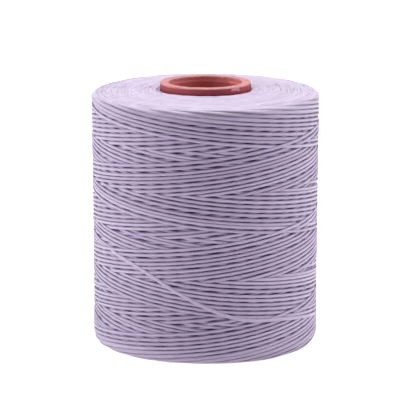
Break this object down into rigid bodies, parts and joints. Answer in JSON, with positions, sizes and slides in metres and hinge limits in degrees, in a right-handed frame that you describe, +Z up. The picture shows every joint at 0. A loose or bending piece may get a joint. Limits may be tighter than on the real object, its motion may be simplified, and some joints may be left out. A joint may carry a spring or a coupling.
{
  "type": "waxed thread spool",
  "caption": "Straight board tube cross-wound with flat waxed thread, its loose end laid over the winding and tucked in.",
  "frame": {"origin": "middle of the tube's lower end, where the spool stands", "axes": "+Z up along the tube; -Y is the front, where the loose end crosses the winding"},
  "size_m": [0.0629, 0.063, 0.0736],
  "materials": {
    "board": "reddish spiral wound board, matte",
    "thread": "lavender waxed polyester thread, soft satin"
  },
  "bodies": {
    "root": {"core_tube": "board", "winding_body": "thread", "outer_winding": "thread", "loose_end": "thread"}
  },
  "joints": []
}
